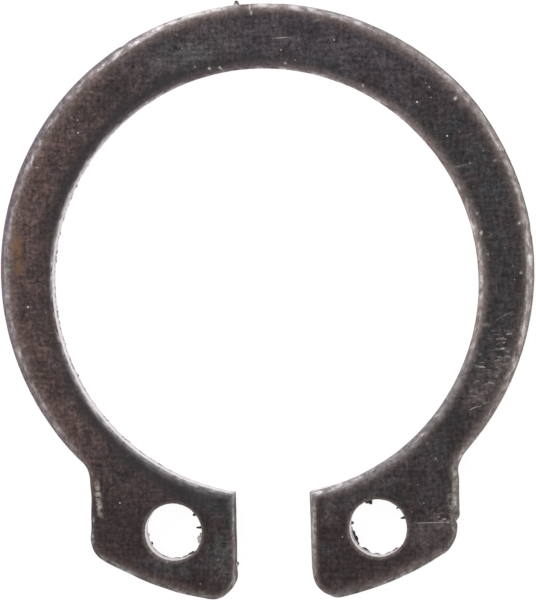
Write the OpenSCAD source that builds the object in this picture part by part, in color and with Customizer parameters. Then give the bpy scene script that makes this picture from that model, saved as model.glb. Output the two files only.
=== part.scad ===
// External retaining ring for a shaft groove, stamped from one strip of spring steel.
// The shaft axis is Z. The ring lies on Z = 0 with its die-roll face up, and its gap faces -Y.

/* [Band] */
// Inside diameter of the free ring
bore_d = 14.5; // [13:0.1:18]
// Radial width of the band opposite the gap
band_w = 2.15; // [1.8:0.05:2.8]
// Radial width that the tapering band would reach at the middle of the gap
band_end_w = 1.45; // [1.2:0.05:1.75]
// Thickness of the strip
thickness = 1; // [0.8:0.05:1.75]

/* [Lugs] */
// Radial height of the lugs above the bore
lug_h = 3.7; // [3.4:0.05:4.6]
// Width of each lug from its gap face to its outer side
lug_w = 4.9; // [4.3:0.05:5.3]
// Width of the gap between the lugs
gap_w = 2.6; // [1.6:0.05:3.6]
// Radius of the lug corners
corner_r = 0.8; // [0.5:0.05:1]
// Radius of the neck where a lug runs into the band
neck_r = 1; // [0.6:0.05:1.4]

/* [Plier holes] */
// Diameter of the plier holes
hole_d = 2; // [1.5:0.05:2.2]
// Distance from the gap face to a hole's axis
hole_inset = 2.2; // [1.9:0.05:2.5]

/* [Stamped edge] */
// Width of the die roll, where the upper face rounds over into the wall
roll_w = 0.36; // [0.2:0.01:0.45]
// Depth of the die roll
roll_h = 0.14; // [0.08:0.01:0.2]
// Width of the die roll round the plier holes
hole_roll_w = 0.14; // [0.08:0.01:0.2]
// Depth of the die roll round the plier holes
hole_roll_h = 0.07; // [0.05:0.01:0.1]
// Height of the torn zone at the foot of the wall
tear_h = 0.4; // [0.2:0.05:0.5]
// How far the torn zone leans away from the sheared land above it
tear_lean = 0.04; // [0.02:0.01:0.08]

/* [Hidden] */
$fn = 128;

// Room by which a cutter passes the faces that it cuts
pass = 0.2;
// Bite of a blend past tangency, so that blended faces cross and don't just touch
bite = 0.002;
// Radius of the roll's arc, as a multiple of the arc that would be tangent to the upper face
roll_flatness = 1.6;

bore_r = bore_d / 2;
band_r = bore_r + (band_w + band_end_w) / 2;
band_y = (band_w - band_end_w) / 2;
lug_r = bore_r + lug_h;
gap_x = gap_w / 2;
lug_x = gap_x + lug_w;

hole_pitch_r = bore_r + lug_h / 2;
hole_at = on_circle(hole_pitch_r, gap_x + hole_inset);

// Centres of the corner and neck blends on the +X lug
gap_corner = on_circle(lug_r - corner_r, gap_x + corner_r);
side_corner = on_circle(lug_r - corner_r, lug_x - corner_r);
neck = on_circle(band_r + neck_r, lug_x + neck_r) + [0, band_y];

// Level at which the lugs' root is well inside the flat part of the band
root_y = on_circle(band_r - roll_w - pass, lug_x).y + band_y;

// Point on the lower half of a circle about the origin, at a given x
function on_circle(radius, x) = [x, -sqrt(radius * radius - x * x)];

function unit(v) = v / norm(v);

// What the press takes off a wall at x = 0 with the metal on -x: the roll at the top, the torn zone below
module wall_cut(width, depth) {
    chord = norm([width, depth]);
    arc_r = roll_flatness * chord * chord / (2 * depth);
    sag = sqrt(arc_r * arc_r - chord * chord / 4);
    arc_at = -[width, depth] / 2 - [depth, width] / chord * sag;
    translate([0, thickness])
        difference() {
            translate([-width - pass, -depth - pass]) square([width + 2 * pass, depth + 2 * pass]);
            translate(arc_at) circle(arc_r);
        }
    lean_per_mm = tear_lean / tear_h;
    polygon([[0, tear_h], [pass, tear_h], [pass, -pass], [-lean_per_mm * (tear_h + pass), -pass]]);
}

// Section of the metal behind such a wall, standing past both faces of the strip
module wall_metal(width, depth) {
    reach = width + pass;
    difference() {
        translate([-reach, -2 * pass]) square([reach, thickness + 4 * pass]);
        wall_cut(width, depth);
    }
}

// Disc with a stamped rim; headroom lets it stand past both faces of the strip
module stamped_disc(radius, headroom = 0) {
    rotate_extrude()
        difference() {
            translate([0, -headroom]) square([radius, thickness + 2 * headroom]);
            translate([radius, 0]) wall_cut(roll_w, roll_h);
        }
}

// Cutter for a round hole with a stamped wall
module stamped_hole(radius, width, depth) {
    rotate_extrude()
        difference() {
            translate([0, -pass / 2]) square([radius + width + pass / 2, thickness + pass]);
            translate([radius, 0]) mirror([1, 0]) wall_metal(width, depth);
        }
}

// Extrudes an X-Z section towards -Y from a start level
module along_gap(start_y, length) {
    translate([0, start_y, 0]) rotate([90, 0, 0]) linear_extrude(length) children();
}

// Plan of a wedge that opens from a point between two directions
module wedge(at, dir_a, dir_b, reach) {
    polygon([at, at + reach * dir_a, at + reach * (dir_a + dir_b), at + reach * dir_b]);
}

module lug_blanks() {
    intersection() {
        stamped_disc(lug_r);
        along_gap(root_y, lug_r)
            difference() {
                translate([-lug_x, 0]) square([2 * lug_x, thickness]);
                for (side = [0, 1])
                    mirror([side, 0]) translate([lug_x, 0]) wall_cut(roll_w, roll_h);
            }
    }
}

// Full-height metal in the corner between lug and band, which the neck cutter then shapes
module neck_fill() {
    to_band = unit([0, band_y] - neck);
    linear_extrude(thickness) wedge(neck, to_band, [-1, 0], neck_r + roll_w + pass);
}

module neck_cutter() {
    translate(neck) stamped_hole(neck_r + bite, roll_w, roll_h);
}

// What lies outside a rounded corner of a lug
module corner_cutter(at, wall_dir) {
    difference() {
        translate([0, 0, -pass]) linear_extrude(thickness + 2 * pass) wedge(at, wall_dir, unit(at), 1.5 * corner_r);
        translate(at) stamped_disc(corner_r + bite, 2 * pass);
    }
}

module gap_cutter() {
    reach = gap_x + roll_w + pass / 2;
    along_gap(0, lug_r + pass)
        difference() {
            translate([-reach, -pass / 2]) square([2 * reach, thickness + pass]);
            for (side = [0, 1])
                mirror([side, 0]) translate([gap_x, 0]) mirror([1, 0]) wall_metal(roll_w, roll_h);
        }
}

module both_sides() {
    for (side = [0, 1]) mirror([side, 0, 0]) children();
}

module retaining_ring() {
    color("dimgray")
        difference() {
            union() {
                translate([0, band_y, 0]) stamped_disc(band_r);
                lug_blanks();
                both_sides() neck_fill();
            }
            stamped_hole(bore_r, roll_w, roll_h);
            gap_cutter();
            both_sides() {
                neck_cutter();
                corner_cutter(gap_corner, [-1, 0]);
                corner_cutter(side_corner, [1, 0]);
                translate(hole_at) stamped_hole(hole_d / 2, hole_roll_w, hole_roll_h);
            }
        }
}

retaining_ring();
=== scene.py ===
# %% [markdown]
# # A stamped retaining ring, from outline to finish
# The real part is a C of spring steel that snaps into a groove on a shaft. One blow of a press cuts
# it from strip, so all of its character is in the edges: the top edge is rolled over, the wall below
# is half burnished and half torn, and the flat faces keep a dark phosphate coat.
# The imported solid gives the frame and the sizes. This script builds a finer skin in the same place.

# %% Load the imported ring
import math

import bmesh
import bpy
import numpy as np
from mathutils import Matrix, Vector, geometry, noise


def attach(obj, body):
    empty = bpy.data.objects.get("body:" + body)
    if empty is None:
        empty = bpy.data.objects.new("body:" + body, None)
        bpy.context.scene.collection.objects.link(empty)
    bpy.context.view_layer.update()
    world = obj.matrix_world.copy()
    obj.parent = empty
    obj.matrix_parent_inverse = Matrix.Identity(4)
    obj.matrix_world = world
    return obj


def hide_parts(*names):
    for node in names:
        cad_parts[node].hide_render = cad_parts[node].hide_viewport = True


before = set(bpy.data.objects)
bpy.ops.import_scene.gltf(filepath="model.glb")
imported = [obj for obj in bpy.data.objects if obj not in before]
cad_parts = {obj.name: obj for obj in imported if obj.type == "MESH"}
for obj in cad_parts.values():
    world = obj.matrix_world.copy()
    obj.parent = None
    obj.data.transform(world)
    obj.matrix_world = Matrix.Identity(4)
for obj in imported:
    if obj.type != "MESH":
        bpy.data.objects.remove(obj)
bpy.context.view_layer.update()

MM = 0.001


print("packed nodes:", sorted(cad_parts))

# %% [markdown]
# ## Camera
# The ring was photographed from almost straight above, with a long lens. The left wall of the bore
# just shows and the right one does not, so the camera stood a few degrees to the upper right.
# A camera is easiest to aim by building its three axes: where it looks, what is up, and their cross.

# %% Camera at the photograph's angle
camera_distance = 150.0
camera_tilt = 7.8
camera_side = 27.0
picture_roll = 1.71
aim = Vector((0.026, -0.611, 0.5))
lens_length = 266.1

tilt, side, roll = (math.radians(v) for v in (camera_tilt, camera_side, picture_roll))
towards_camera = Vector((math.sin(tilt) * math.cos(side), math.sin(tilt) * math.sin(side), math.cos(tilt)))
picture_up = Vector((math.sin(roll), math.cos(roll), 0.0))
right_axis = picture_up.cross(towards_camera).normalized()
up_axis = towards_camera.cross(right_axis)

camera_data = bpy.data.cameras.new("photo_camera")
camera_data.lens = lens_length
camera_data.clip_start = 0.005
camera_data.clip_end = 10.0
camera = bpy.data.objects.new("photo_camera", camera_data)
bpy.context.scene.collection.objects.link(camera)
turn = Matrix((right_axis, up_axis, towards_camera)).transposed()
camera.matrix_world = Matrix.Translation((aim + towards_camera * camera_distance) * MM) @ turn.to_4x4()
bpy.context.scene.camera = camera
print("camera at", [round(v / MM, 1) for v in camera.location], "mm, lens", lens_length)

# %% [markdown]
# ## Floor and studio light
# The ring lies on a plain white table under a soft tent. The table has to look white without more
# light on the steel, so its material glows only for the rays that the camera and the reflections
# send, and a plain diffuse part on top of that keeps the shadow of the ring.

# %% Small helpers for node trees
def new_tree(owner):
    """An empty node tree for a material or a world."""
    owner.use_nodes = True
    owner.node_tree.nodes.clear()
    return owner.node_tree


def add_node(tree, kind, inputs=None, **settings):
    """One node; inputs are numbers, colours or other nodes' sockets."""
    made = tree.nodes.new(kind)
    for name, value in settings.items():
        setattr(made, name, value)
    for key, value in (inputs or {}).items():
        if isinstance(value, bpy.types.NodeSocket):
            tree.links.new(value, made.inputs[key])
        else:
            made.inputs[key].default_value = value
    return made


def seen_directly(tree):
    """1 for a ray from the camera, a mirror-like bounce or glass, 0 for light that falls on things."""
    path = add_node(tree, "ShaderNodeLightPath")
    seen = path.outputs["Is Camera Ray"]
    for kind in ("Is Glossy Ray", "Is Transmission Ray"):
        larger = add_node(tree, "ShaderNodeMath", {0: seen, 1: path.outputs[kind]}, operation="MAXIMUM")
        seen = larger.outputs[0]
    return seen


# %% White table
table_size = 1.2
table_glow = 0.91
table_diffuse = 0.19
table_gap = 0.00002

table_mesh = bpy.data.meshes.new("white_table")
half_table = table_size / 2
table_corners = [(x * half_table, y * half_table, 0) for x, y in ((-1, -1), (1, -1), (1, 1), (-1, 1))]
table_mesh.from_pydata(table_corners, [], [(0, 1, 2, 3)])
white_table = bpy.data.objects.new("white_table", table_mesh)
bpy.context.scene.collection.objects.link(white_table)
white_table.location.z = -table_gap

table_paint = bpy.data.materials.new("white_table")
tree = new_tree(table_paint)
glow = add_node(tree, "ShaderNodeEmission", {"Color": (1, 1, 1, 1), "Strength": table_glow})
grey = add_node(tree, "ShaderNodeBsdfDiffuse", {"Color": (table_diffuse,) * 3 + (1,)})
white = add_node(tree, "ShaderNodeAddShader", {0: glow.outputs[0], 1: grey.outputs[0]})
plain = add_node(tree, "ShaderNodeBsdfDiffuse", {"Color": (0.8, 0.8, 0.8, 1)})
rays = seen_directly(tree)
pick = add_node(tree, "ShaderNodeMixShader", {0: rays, 1: plain.outputs[0], 2: white.outputs[0]})
add_node(tree, "ShaderNodeOutputMaterial", {"Surface": pick.outputs[0]})
table_mesh.materials.append(table_paint)
print("white table", table_size, "m wide")

# %% Soft tent and two lamps
tent_light = 0.55
tent_world = bpy.data.worlds.new("soft_tent")
bpy.context.scene.world = tent_world
tree = new_tree(tent_world)
rays = add_node(tree, "ShaderNodeLightPath").outputs["Is Camera Ray"]
tent = add_node(tree, "ShaderNodeBackground", {"Color": (1.0, 0.99, 0.985, 1), "Strength": tent_light})
backdrop = add_node(tree, "ShaderNodeBackground", {"Color": (1, 1, 1, 1), "Strength": 1.0})
pick = add_node(tree, "ShaderNodeMixShader", {0: rays, 1: tent.outputs[0], 2: backdrop.outputs[0]})
add_node(tree, "ShaderNodeOutputWorld", {"Surface": pick.outputs[0]})


def soft_lamp(name, place, width, watts, colour):
    """A square area lamp that looks at the ring."""
    data = bpy.data.lights.new(name, "AREA")
    data.size = width
    data.energy = watts
    data.color = colour
    lamp = bpy.data.objects.new(name, data)
    bpy.context.scene.collection.objects.link(lamp)
    lamp.location = place
    lamp.rotation_euler = (-Vector(place)).to_track_quat("-Z", "Y").to_euler()
    return lamp


soft_lamp("window_lamp", place=(-0.16, 0.20, 0.20), width=0.18, watts=0.42, colour=(1.0, 0.985, 0.97))
soft_lamp("fill_lamp", place=(0.24, -0.06, 0.16), width=0.16, watts=0.16, colour=(1.0, 0.97, 0.93))
bpy.context.scene.view_settings.view_transform = "Standard"
print("tent strength", tent_light, "with a window lamp at the upper left and a weak fill at the right")

# %% [markdown]
# ## The outline
# Seen from above the ring is built only from circles and straight lines: a bore, an outer circle whose
# centre sits a little higher so that the band thins towards its ends, and two lugs. The outline could
# be traced, but the same sizes as the solid are safer. Each stretch is a formula that also takes
# an inset, so the same outline, moved into the metal, later gives every ring of the edge's profile.

# %% Sizes of the stamping, in millimetres
bore_r = 7.25
band_w = 2.15
band_end_w = 1.45
thickness = 1.0
lug_h = 3.7
lug_w = 4.9
gap_x = 1.3
corner_r = 0.8
neck_r = 1.0
hole_r = 1.0
hole_inset = 2.2

band_r = bore_r + (band_w + band_end_w) / 2
band_y = (band_w - band_end_w) / 2
lug_r = bore_r + lug_h
lug_x = gap_x + lug_w
hole_x = gap_x + hole_inset
hole_y = -math.sqrt((bore_r + lug_h / 2) ** 2 - hole_x**2)
gap_corner = np.array((-(gap_x + corner_r), -math.sqrt((lug_r - corner_r) ** 2 - (gap_x + corner_r) ** 2)))
side_corner = np.array((-(lug_x - corner_r), -math.sqrt((lug_r - corner_r) ** 2 - (lug_x - corner_r) ** 2)))
neck = np.array((-(lug_x + neck_r), band_y - math.sqrt((band_r + neck_r) ** 2 - (lug_x + neck_r) ** 2)))
print("band radius", round(band_r, 3), "lug radius", lug_r, "hole at", round(hole_x, 2), round(hole_y, 2))


# %% The left half of the outline, from the top of the band to the top of the bore
def spokes(degrees):
    """Unit vectors at these angles."""
    angle = np.radians(degrees)
    return np.stack([np.cos(angle), np.sin(angle)], -1)


def bearing(vector):
    """The angle of a vector, from 0 to 360 degrees."""
    return math.degrees(math.atan2(vector[1], vector[0])) % 360


def turn_from(angles, middle):
    """How far each angle lies from a middle one, from -180 to 180 degrees."""
    return (angles - middle + 180) % 360 - 180


neck_turn = bearing(neck - (0, band_y))
side_turn = bearing(side_corner)
gap_turn = bearing(gap_corner)


def round_part(centre, radius, start, end, metal_inside):
    """A stretch of circle; metal_inside is 1 where an inset makes it smaller and -1 where larger."""
    def place(t, inset):
        return np.array(centre) + (radius - metal_inside * inset)[:, None] * spokes(start + t * (end - start))

    return place


def lug_side(t, inset):
    """The straight outer side of a lug."""
    return np.stack([inset - lug_x, neck[1] + t * (side_corner[1] - neck[1])], -1)


def gap_face(t, inset):
    """The straight face at the gap, down to the bore."""
    tip = -np.sqrt((bore_r + inset) ** 2 - (gap_x + inset) ** 2)
    return np.stack([-(gap_x + inset), gap_corner[1] + t * (tip - gap_corner[1])], -1)


def bore_half(t, inset):
    """The left half of the bore, from the gap to the top."""
    start = 270 - np.degrees(np.arcsin((gap_x + inset) / (bore_r + inset)))
    return (bore_r + inset)[:, None] * spokes(start + t * (90 - start))


stretches = [
    ("band", 21.2, round_part((0, band_y), band_r, 90, neck_turn, 1)),
    ("neck", 0.8, round_part(neck, neck_r, neck_turn - 180, 0, -1)),
    ("side", 1.9, lug_side),
    ("side corner", 0.8, round_part(side_corner, corner_r, 180, side_turn, 1)),
    ("lug end", 3.9, round_part((0, 0), lug_r, side_turn, gap_turn, 1)),
    ("gap corner", 1.4, round_part(gap_corner, corner_r, gap_turn, 360, 1)),
    ("gap face", 2.8, gap_face),
    ("bore", 21.5, bore_half),
]
point_step = 0.05
half_counts = [round(length / point_step) for _, length, _ in stretches]
half_total = sum(half_counts) + 1
edge_total = 2 * half_total - 2


def half_outline(inset):
    """Points of the left half for one inset per point."""
    found = []
    at = 0
    for (name, length, place), count in zip(stretches, half_counts):
        found.append(place(np.arange(count) / count, inset[at : at + count]))
        at += count
    found.append(stretches[-1][2](np.ones(1), inset[-1:]))
    return np.concatenate(found)


def outline(inset):
    """The whole edge, moved into the metal by one inset per point."""
    left = half_outline(inset[:half_total])
    mirrored = np.concatenate([inset[:1], inset[: half_total - 1 : -1], inset[half_total - 1 : half_total]])
    right = half_outline(mirrored)
    return np.concatenate([left, (right * (-1, 1))[-2:0:-1]])


half_names = [name for (name, _, _), count in zip(stretches, half_counts) for _ in range(count)] + ["bore"]
edge_names = np.array(half_names + half_names[-2:0:-1])
edge_start = outline(np.zeros(edge_total))
steps = np.linalg.norm(np.roll(edge_start, -1, 0) - edge_start, axis=1)
print("outline:", edge_total, "points,", round(steps.sum(), 1), "mm round")
print("longest step", round(steps.max(), 3), "mm")

# %% [markdown]
# ## How far the press has rolled and worn each edge, and how much light is painted on it
# A press never treats the whole edge alike. On this ring the roll is widest at the upper left of the
# band and narrow along the gap, and handling has rubbed the coat off the outer edge and the right
# half of the bore, while the left half of the bore stays dark. The wash amounts are partly that wear
# and partly painted light that differs round the roll. These amounts could be painted by hand. A
# table of values by angle, joined smoothly round the outline, is easier to change.

# %% Roll width, roll depth and wear along the outline
edge_angle = np.degrees(np.arctan2(edge_start[:, 1], edge_start[:, 0]))
on_left = edge_start[:, 0] < 0


def by_angle(table):
    """A value for each outline point from a table of angle and value; angles run from -90 to 270."""
    angles, values = zip(*table)
    return np.interp(np.where(edge_angle < -90, edge_angle + 360, edge_angle), angles, values)


def by_side(left, right):
    """One value on the left half of the outline and another on the right half."""
    return np.where(on_left, left, right)


def from_point(x, y):
    """Distance of each outline point from a place, in millimetres."""
    return np.hypot(edge_start[:, 0] - x, edge_start[:, 1] - y)


def smooth_round(values, reach):
    """A closed run of values, averaged over about reach millimetres."""
    span = int(3 * reach / point_step)
    weights = np.exp(-0.5 * (np.arange(-span, span + 1) * point_step / reach) ** 2)
    padded = np.concatenate([values[-span:], values, values[:span]])
    return np.convolve(padded, weights / weights.sum(), "valid")


outer_roll = by_angle([
    (-60, 0.46), (-35, 0.44), (-10, 0.48), (10, 0.48), (25, 0.44), (40, 0.46), (60, 0.50), (75, 0.44),
    (90, 0.41), (105, 0.51), (120, 0.60), (135, 0.70), (150, 0.70), (170, 0.70), (190, 0.66),
    (215, 0.56), (230, 0.48),
])
# The wash is partly rubbed coat and partly painted light.
outer_wash = by_angle([
    (-60, 0.60), (-35, 0.68), (-20, 0.60), (0, 0.70), (20, 0.66), (40, 0.88), (60, 0.80), (75, 0.88),
    (90, 0.86), (105, 1.0), (120, 0.74), (135, 0.64), (150, 0.62), (170, 0.57), (190, 0.64), (215, 0.60),
    (230, 0.54),
])
outer_wear = by_angle([
    (-60, 0.30), (-35, 0.36), (-20, 0.40), (0, 0.64), (20, 0.50), (40, 0.56), (60, 0.32), (75, 0.78),
    (90, 0.72), (105, 0.84), (120, 0.62), (133, 0.30), (150, 0.40), (170, 0.40), (190, 0.40),
    (210, 0.28), (230, 0.24),
])
outer_crest = by_angle([
    (-60, 0.03), (-35, 0.05), (-20, 0.13), (0, 0.12), (20, 0.085), (40, 0.06), (75, 0.08), (90, 0.03),
    (105, 0.03), (118, 0.16), (135, 0.18), (150, 0.25), (170, 0.195), (190, 0.18), (210, 0.18),
    (230, 0.10),
])
bore_roll = by_angle([
    (-85, 0.36), (-65, 0.46), (-50, 0.46), (-30, 0.38), (-10, 0.38), (10, 0.44), (30, 0.38), (50, 0.38),
    (70, 0.28), (100, 0.28), (140, 0.22), (180, 0.20), (225, 0.24), (245, 0.32), (262, 0.36),
])
bore_wash = by_angle([
    (-85, 0.62), (-65, 0.94), (-50, 0.80), (-30, 0.80), (-10, 0.74), (10, 0.84), (30, 0.64), (50, 0.64),
    (70, 0.70), (90, 0.68), (110, 0.60), (130, 0.48), (150, 0.36), (170, 0.42), (190, 0.34), (210, 0.34),
    (225, 0.34), (240, 0.42), (262, 0.40),
])
bore_wear = by_angle([
    (-85, 0.56), (-65, 0.34), (-50, 0.18), (-30, 0.22), (-10, 0.58), (10, 0.54), (30, 0.30), (50, 0.36),
    (70, 0.50), (110, 0.54), (130, 0.60), (150, 0.60), (170, 0.66), (190, 0.24), (210, 0.84),
    (225, 0.44), (240, 0.68), (262, 0.60),
])
bore_crest = by_angle([
    (-85, 0.06), (-65, 0.06), (-50, 0.14), (-30, 0.10), (-10, 0.05), (10, 0.07), (30, 0.03), (60, 0.0),
    (80, -0.04), (170, -0.04), (210, -0.03), (245, -0.03), (262, -0.05),
])
roll_table = {
    "band": outer_roll, "neck": by_side(0.30, 0.36), "side": 0.20, "side corner": 0.38,
    "lug end": by_side(0.42, 0.56), "gap corner": 0.34, "gap face": by_side(0.20, 0.31), "bore": bore_roll,
}
depth_table = {
    "band": 0.15, "neck": 0.12, "side": 0.10, "side corner": 0.13,
    "lug end": 0.14, "gap corner": 0.12, "gap face": 0.09, "bore": 0.12,
}
wash_table = {
    "band": outer_wash, "neck": by_side(0.35, 0.50), "side": by_side(0.15, 0.28),
    "side corner": by_side(0.38, 0.45), "lug end": by_side(0.47, 0.42), "gap corner": 0.40,
    "gap face": by_side(0.26, 0.92), "bore": bore_wash,
}
wear_table = {
    "band": outer_wear, "neck": by_side(0.15, 0.30), "side": by_side(0.10, 0.20),
    "side corner": by_side(0.24, 0.28), "lug end": by_side(0.24, 0.26), "gap corner": 0.24,
    "gap face": by_side(0.60, 0.34), "bore": bore_wear,
}
crest_table = {
    "band": outer_crest, "neck": 0.05, "side": 0.05, "side corner": 0.03,
    "lug end": 0.02, "gap corner": 0.03, "gap face": by_side(-0.06, 0.08), "bore": bore_crest,
}
bore_shine = by_angle([(90, 0.6), (128, 0.5), (150, 0.68), (170, 0.88), (190, 1.0), (262, 1.0)])
shine_table = {"bore": by_side(bore_shine, 1.0)}
rub_spots = [
    (8.85, 0.60, 0.20, 0.30), (5.05, -5.20, 0.18, 0.20), (4.70, -5.55, 0.12, 0.25), (5.62, -4.62, 0.12, 0.25),
    (2.30, -6.90, 0.35, 0.25), (-3.60, 8.40, 0.50, 0.10), (-0.50, 9.38, 0.30, -0.60),
]
dull_spots = [(-0.50, 9.38, 0.30, -0.45)]


def along_edge(table, reach):
    """One value per outline point from a table by stretch, smoothed."""
    values = np.zeros(edge_total)
    for name, amount in table.items():
        values = np.where(edge_names == name, amount, values)
    return smooth_round(values, reach)


def edge_ripple(points, scale, seed):
    """Gentle noise, one value per point, from -1 to 1."""
    return np.array([noise.noise(Vector((x * scale, y * scale, seed))) for x, y in points])


roll_w = along_edge(roll_table, 0.5) * (1 + 0.10 * edge_ripple(edge_start, 0.9, 3.1))
roll_h = along_edge(depth_table, 0.5) * (1 + 0.08 * edge_ripple(edge_start, 1.3, 8.2))
wear_ripple = 0.22 * edge_ripple(edge_start, 0.8, 4.4) + 0.22 * edge_ripple(edge_start, 2.6, 6.1)
wear = along_edge(wear_table, 0.45) * (1 + wear_ripple)
wash = along_edge(wash_table, 0.45)
for spots, values in ((rub_spots, wear), (dull_spots, wash)):
    for x, y, reach, amount in spots:
        values += amount * np.exp(-((from_point(x, y) / reach) ** 2))
wear = np.clip(wear, 0, 1)
crest = along_edge(crest_table, 0.3)
shine = along_edge(shine_table, 0.12)
torn_shine = along_edge({"bore": 1.0}, 0.12)
print("roll width", roll_w.min().round(2), "to", roll_w.max().round(2), "mm")
print("wear", wear.min().round(2), "to", wear.max().round(2))

# %% [markdown]
# ## Nicks and nubs
# The outline of a stamped ring is never quite true: it has dents, low bulges and a burr or two at the
# foot of the wall. They could be pushed in by hand. A list of places, each with a reach and a depth,
# moves the outline there and can be read and changed later. A depth above zero goes into the metal.

# %% Nicks and nubs in the outline
nicks = [
    (6.20, -6.85, 0.60, -0.11), (6.20, -7.80, 0.55, -0.10), (6.20, -8.26, 0.10, 0.066),
    (6.20, -8.05, 0.12, -0.03), (6.05, -9.00, 0.35, 0.02), (5.60, -9.42, 0.25, 0.02),
    (6.34, -6.15, 0.25, -0.035), (-6.20, -7.20, 0.35, 0.03), (-6.34, -6.15, 0.30, 0.02),
    (-6.12, -8.95, 0.35, -0.03), (-1.30, -9.60, 0.50, 0.03), (-1.30, -8.50, 0.90, 0.022),
    (1.85, -10.70, 0.22, 0.035), (1.33, -10.05, 0.28, 0.03), (-5.60, -9.30, 0.60, -0.07),
    (-4.40, -9.95, 0.70, -0.05), (-3.30, -10.40, 0.60, -0.035), (-6.20, -8.55, 0.22, -0.03),
    (-1.50, -10.50, 0.40, 0.03), (1.50, -10.55, 0.40, 0.06), (-4.60, 8.15, 0.12, 0.03),
    (6.90, 6.10, 1.60, -0.04), (8.95, 1.50, 0.14, 0.02),
]
edge_shift = 0.006 * edge_ripple(edge_start, 1.6, 5.5) + 0.003 * edge_ripple(edge_start, 7.0, 2.5)
bore_drift = 0.05
bore_crown = 0.04
edge_turn = np.radians(edge_angle)
drift = bore_drift * np.cos(edge_turn) + bore_crown * np.clip(np.sin(edge_turn), 0, 1) ** 3
edge_shift -= smooth_round(np.where(edge_names == "bore", drift, 0.0), 0.3)
for x, y, reach, depth in nicks:
    edge_shift += depth * np.exp(-((from_point(x, y) / reach) ** 2))
nubs = [(-0.80, 9.36, 0.085, 0.180), (-1.32, -9.62, 0.06, 0.07)]
nub_push = np.zeros(edge_total)
nub_shape = np.zeros(edge_total)
for x, y, reach, height in nubs:
    shape = np.exp(-((from_point(x, y) / reach) ** 4))
    nub_push += height * shape
    nub_shape = np.maximum(nub_shape, shape)
print(len(nicks), "nicks and", len(nubs), "nubs")
print("the edge moves by", edge_shift.min().round(3), "to", edge_shift.max().round(3), "mm")

# %% [markdown]
# ## Scratches and chips
# Pliers and other rings in the box have left short scratches, a patch of level scuffs at the lower
# right, and tiny chips where bare steel glints. They are listed once, by place and size, because two
# steps need them: the rolled edge only changes colour there, and the flat face gets real grooves.

# %% Scratches as start, end, width, bend and strength, and chips as place, size and strength
scratches = [
    (0.45, 8.22, 1.09, 8.24, 0.050, 0.00, 0.45), (6.50, 3.72, 7.17, 3.88, 0.034, 0.01, 0.26),
    (7.70, 3.86, 7.91, 3.94, 0.040, 0.00, 0.28), (7.75, -1.44, 8.27, -1.16, 0.040, 0.01, 0.26),
    (7.32, -1.58, 7.48, -1.58, 0.084, 0.00, 0.22), (8.07, -1.90, 8.24, -1.88, 0.102, 0.00, 0.36),
    (8.12, -1.80, 8.22, -1.80, 0.072, 0.00, 0.22), (7.74, -2.08, 8.01, -2.02, 0.072, 0.01, 0.32),
    (7.40, -2.05, 7.67, -2.05, 0.054, 0.00, 0.18), (7.91, -2.18, 8.06, -2.18, 0.072, 0.00, 0.22),
    (7.89, -2.39, 8.04, -2.38, 0.114, 0.00, 0.52), (7.71, -2.39, 7.80, -2.38, 0.072, 0.00, 0.25),
    (8.05, -2.47, 8.13, -2.49, 0.072, 0.00, 0.29), (7.18, -2.56, 7.47, -2.56, 0.054, 0.00, 0.32),
    (7.69, -2.78, 7.81, -2.78, 0.084, 0.00, 0.36), (7.16, -2.84, 7.36, -2.84, 0.060, 0.00, 0.22),
    (7.33, -2.76, 7.44, -2.76, 0.060, 0.00, 0.18), (7.10, -2.99, 7.37, -3.02, 0.102, 0.02, 0.45),
    (7.73, -3.00, 7.83, -3.00, 0.072, 0.00, 0.32), (7.60, -3.29, 7.73, -3.29, 0.090, 0.00, 0.40),
    (7.02, -3.46, 7.17, -3.46, 0.072, 0.00, 0.29), (7.44, -3.51, 7.59, -3.54, 0.090, 0.00, 0.40),
    (6.82, -3.79, 6.92, -3.79, 0.072, 0.00, 0.25), (6.95, -3.99, 7.09, -4.01, 0.060, 0.00, 0.22),
    (6.80, -4.43, 7.13, -4.32, 0.060, 0.03, 0.42), (6.88, -4.18, 6.96, -4.14, 0.060, 0.00, 0.22),
    (8.36, 0.52, 8.44, 0.02, 0.020, 0.01, 0.20), (4.80, -8.21, 6.00, -8.21, 0.036, 0.00, 0.55),
    (5.63, -8.16, 5.81, -8.16, 0.050, 0.00, 0.40), (5.53, -7.85, 5.85, -7.61, 0.030, 0.00, 0.14),
    (-2.47, 8.12, -2.22, 8.14, 0.030, 0.00, 0.18), (-2.17, 8.00, -1.56, 8.04, 0.030, 0.00, 0.12),
    (-5.55, -6.96, -5.39, -6.81, 0.030, 0.00, 0.26), (-0.26, 9.36, -0.20, 9.06, 0.036, 0.03, 0.60),
    (-1.25, 7.24, -1.20, 7.18, 0.030, 0.00, 0.40), (-8.96, 0.63, -8.69, 0.63, 0.040, 0.00, 0.28),
    (5.77, -8.10, 5.91, -8.09, 0.060, 0.00, 0.60), (5.30, -8.05, 5.55, -8.02, 0.040, 0.00, 0.22),
    (5.62, -7.92, 5.80, -7.88, 0.040, 0.00, 0.20), (5.40, -7.78, 5.52, -7.74, 0.040, 0.00, 0.18),
]
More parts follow.
